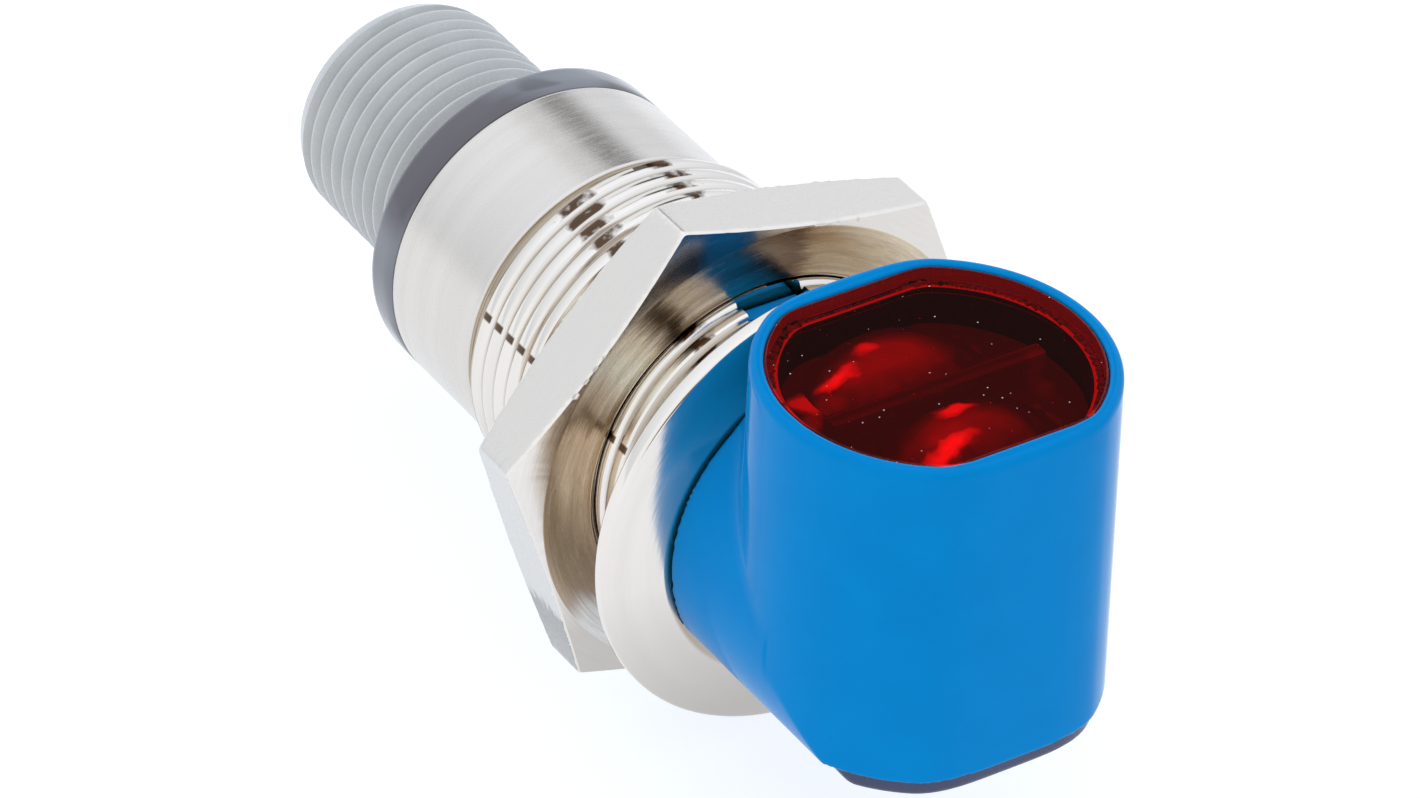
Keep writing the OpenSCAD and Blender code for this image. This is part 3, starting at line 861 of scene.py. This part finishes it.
def carrier_field(x, y, z):
    d = flatted_field(x, y, z, CAVITY_R - FIT_GAP, CAVITY_F - FIT_GAP, -1.2, 9.7,
                      0.4, 0.15, 0.05)
    wall = box_field(x, y, z, (-5.8, HEAD_Y - 0.45, 9.0), (5.8, HEAD_Y + 0.45, 11.3), 0.15)
    d = np.minimum(d, wall)
    for side in (-1, 1):
        beam = optic_field(x, y, z, side, LENS_D - 1.2, LENS_W - 0.8, 1, -3, 10, 0.05)
        pocket = optic_field(x, y, z, side, LENS_D + 0.1, LENS_W + 0.1, 0.45, 8.05, 12, 0.05)
        d = smax(smax(d, -beam, 0.1), -pocket, 0.1)
    return d


def lens_carrier():
    verts, faces = field_mesh(carrier_field, (-7.4, -16.0, -1.6), (7.4, -2.8, 11.7), 0.2)
    return mesh_piece("lens_carrier", verts, faces, ["carrier_black"], "housing",
                      ["lens_carrier"], merge=False, sharp=40)


def lens(name, side):
    cy = HEAD_Y + side * CHAMBER_Y

    def field(x, y, z):
        flange = optic_field(x, y, z, side, LENS_D, LENS_W, 0.5, LENS_Z, LENS_Z + 0.5, 0.08)
        cap = optic_field(x, y, z, side, LENS_D - 0.4, LENS_W - 0.4, 0.7, LENS_Z, 13, 0.1)
        middle = LENS_TOP - DOME_R
        ball = np.sqrt(x ** 2 + (y - cy) ** 2 + (z - middle) ** 2) - DOME_R
        return np.minimum(flange, smax(cap, ball, 0.12))

    verts, faces = field_mesh(field, (-4.7, cy - 3.2, 8.0), (4.7, cy + 3.2, 11.5), 0.13)
    return mesh_piece(name, verts, faces, ["clear_lens"], "housing", [name],
                      merge=False, sharp=40)


# ---------------------------------------------------------------- plug end

# Profiles of (r, y): the ring with its spigot and seal groove, the plug's neck and its mouth.
RING = [(SPIGOT_R, 20.62), (SPIGOT_R, 21.7), (6.6, 21.7), (6.6, 22.7), (SPIGOT_R, 22.7),
        (SPIGOT_R, 23.72), (8.38, 23.72), (8.46, 23.75), (BAND_R, 23.82), (BAND_R, 24.6),
        (8.49, 25.45), (8.46, 25.65), (8.38, 25.76), (8.25, 25.8), (7.0, 25.8), (5.6, 25.8),
        (5.55, 25.75), (5.55, 24.9), (6.3, 24.9), (6.3, 20.65), (6.35, 20.6), (7.4, 20.6)]
PLUG_NECK = [(4.25, 23.45), (4.3, 23.4), (6.2, 23.4), (6.25, 23.45), (6.25, 24.85), (5.5, 24.85),
             (5.5, 26.9)]
PLUG_MOUTH = [(5.86, 36.92), (5.75, 37.2), (5.66, 37.42), (5.6, 37.54), (5.52, 37.6), (4.6, 37.6),
              (4.42, 37.57), (4.3, 37.48), (4.25, 37.35), (4.25, 30.0)]
RIB_LO, RIB_HI = (-0.45, 29.6, 3.65), (0.45, 37.0, 4.5)      # the key rib in the plug's bore


def indicator_ring():
    verts, faces = lathe(RING, 240)
    return mesh_piece("indicator_ring", verts, faces, ["smoked_ring"], "housing",
                      ["indicator_ring"])


def connector_shell():
    angles = np.linspace(0, TAU, 301)

    def radius(y, turns):
        r = PLUG_R - thread_depth(SHARP_THREAD, turns)
        r = np.minimum(r, 5.5 + (y - 26.9) * 1.0)
        return np.minimum(r, 5.64 + (37.4 - y) * 0.45)

    rows = thread_rows(SHARP_THREAD, angles, 26.95, 36.9, PLUG_THREAD_Y0, radius)
    shell = ring_mesh(with_rows(rows, PLUG_NECK, PLUG_MOUTH), angles)
    rib = rib_mesh(RIB_LO, RIB_HI)
    verts, faces = joined(shell, rib)
    return mesh_piece("connector_shell", verts, faces, ["grey_translucent"], "housing",
                      ["connector_shell"])


def rib_mesh(lo, hi):
    """A bar along Y with bevelled inner edges and a tapered end."""
    edge = 0.12
    outline = [(lo[0] + edge, lo[2]), (hi[0] - edge, lo[2]), (hi[0], lo[2] + edge), (hi[0], hi[2]),
               (lo[0], hi[2]), (lo[0], lo[2] + edge)]
    verts = [(x, lo[1], z) for x, z in outline] + [(x, hi[1] - edge, z) for x, z in outline]
    verts += [(x * 0.75, hi[1], z + 0.1 * (hi[2] - z)) for x, z in outline]
    n = len(outline)
    faces = [list(range(n)), list(range(3 * n - 1, 2 * n - 1, -1))]
    for base in (0, n):
        faces += [[base + i, base + n + i, base + n + (i + 1) % n, base + (i + 1) % n]
                  for i in range(n)]
    return verts, faces


# ---------------------------------------------------------------- kept CAD nodes

def dress_kept_nodes():
    """CAD nodes whose shape is right get their slot's procedural material."""
    slots = {row["node"]: row["material_slot"] for row in frame["record"]["subparts"]}
    for name, node in frame["nodes"].items():
        if node.hide_render:
            continue
        node.data.materials.clear()
        node.data.materials.append(MATERIALS[slots[name]])


# ---------------------------------------------------------------- stage

# A brighter panel and the gaps between panels:
# direction, inner and outer angle in degrees, colour inside.
SKY_PATCHES = (
    ((-0.90, -0.30, 0.15), 25.0, 45.0, (1.12, 1.18, 1.24)),
    ((0.46, 0.675, 0.575), 6.5, 11.0, (0.14, 0.14, 0.14)),
    ((0.20, 0.67, 0.71), 2.0, 8.0, (0.72, 0.74, 0.77)),
    ((-0.20, -0.97, 0.10), 13.0, 22.0, (0.16, 0.115, 0.08)),
)
LIGHT_TINT = (0.935, 1.0, 1.10)
PANEL_LEVELS = (0.90, 1.30)          # at the horizon and overhead
FLOOR_HALF = 6.0                     # metres


def lay_floor():
    low, half = cad_box[0].z, FLOOR_HALF
    mesh = bpy.data.meshes.new("floor")
    mesh.from_pydata([(-half, -half, low), (half, -half, low), (half, half, low),
                      (-half, half, low)], [], [(0, 1, 2, 3)])
    f = Finish("floor", Roughness=0.8, Specular_IOR_Level=0.1, Emission_Color=(0.95, 1.0, 1.08),
               Emission_Strength=0.80)
    f.put("Base Color", f.mix(f.between(f.noise(0.02, 2.0), 0.3, 0.7), (0.29, 0.285, 0.28),
                              (0.31, 0.305, 0.30)))
    mesh.materials.append(f.material)
    floor = bpy.data.objects.new("floor", mesh)
    bpy.context.scene.collection.objects.link(floor)


def light_studio():
    """Soft light from all round, brighter overhead, with SKY_PATCHES set into it."""
    world = bpy.data.worlds.new("studio")
    bpy.context.scene.world = world
    world.use_nodes = True
    sky = Nodes(world.node_tree)
    toward = sky.add("ShaderNodeTexCoord").outputs["Generated"]
    rise = sky.add("ShaderNodeSeparateXYZ", {0: toward}).outputs[2]
    level = sky.between(rise, 0.0, 1.0, *PANEL_LEVELS)
    light = sky.add("ShaderNodeCombineXYZ", {
        axis: sky.math("MULTIPLY", level, LIGHT_TINT[axis]) for axis in range(3)}).outputs[0]
    for direction, near, far, colour in SKY_PATCHES:
        dot = sky.add("ShaderNodeVectorMath", {0: toward, 1: Vector(direction).normalized()},
                      operation="DOT_PRODUCT")
        fade = sky.add("ShaderNodeMapRange", {
            "Value": dot.outputs["Value"], "From Min": math.cos(math.radians(far)),
            "From Max": math.cos(math.radians(near))}, interpolation_type="SMOOTHSTEP")
        light = sky.mix(fade, light, colour)
    back = world.node_tree.nodes["Background"]
    sky.link(back, "Color", light)
    sky.link(back, "Strength", 1.0)
    bpy.context.scene.view_settings.view_transform = "Standard"
    bpy.context.scene.view_settings.look = "None"


CAMERA_DEGREES = (-33.790, 35.842, 2.314)          # azimuth, elevation, roll
CAMERA_AT = Vector((-159.996, -230.470, 207.791))
CAMERA_LENS = 190.9


def camera():
    azimuth, elevation, roll = (math.radians(v) for v in CAMERA_DEGREES)
    ca, sa, ce, se = math.cos(azimuth), math.sin(azimuth), math.cos(elevation), math.sin(elevation)
    back = Vector((sa * ce, -ca * ce, se))
    right = Vector((ca, sa, 0))
    up = back.cross(right)
    x = right * math.cos(roll) + up * math.sin(roll)
    y = up * math.cos(roll) - right * math.sin(roll)
    data = bpy.data.cameras.new("camera")
    data.sensor_width = 36.0
    data.lens = CAMERA_LENS
    data.clip_start, data.clip_end = 0.02, 20
    cam = bpy.data.objects.new("camera", data)
    bpy.context.scene.collection.objects.link(cam)
    turned = Matrix((x, y, back)).transposed().to_4x4()
    cam.matrix_world = Matrix.Translation(CAMERA_AT * MM) @ turned
    bpy.context.scene.camera = cam


build_materials()
threaded_sleeve()
hex_nut()
head_shell()
head_cover()
front_window()
lens_carrier()
lens("emitter_lens", -1)
lens("receiver_lens", 1)
indicator_ring()
connector_shell()
dress_kept_nodes()
lay_floor()
light_studio()
camera()
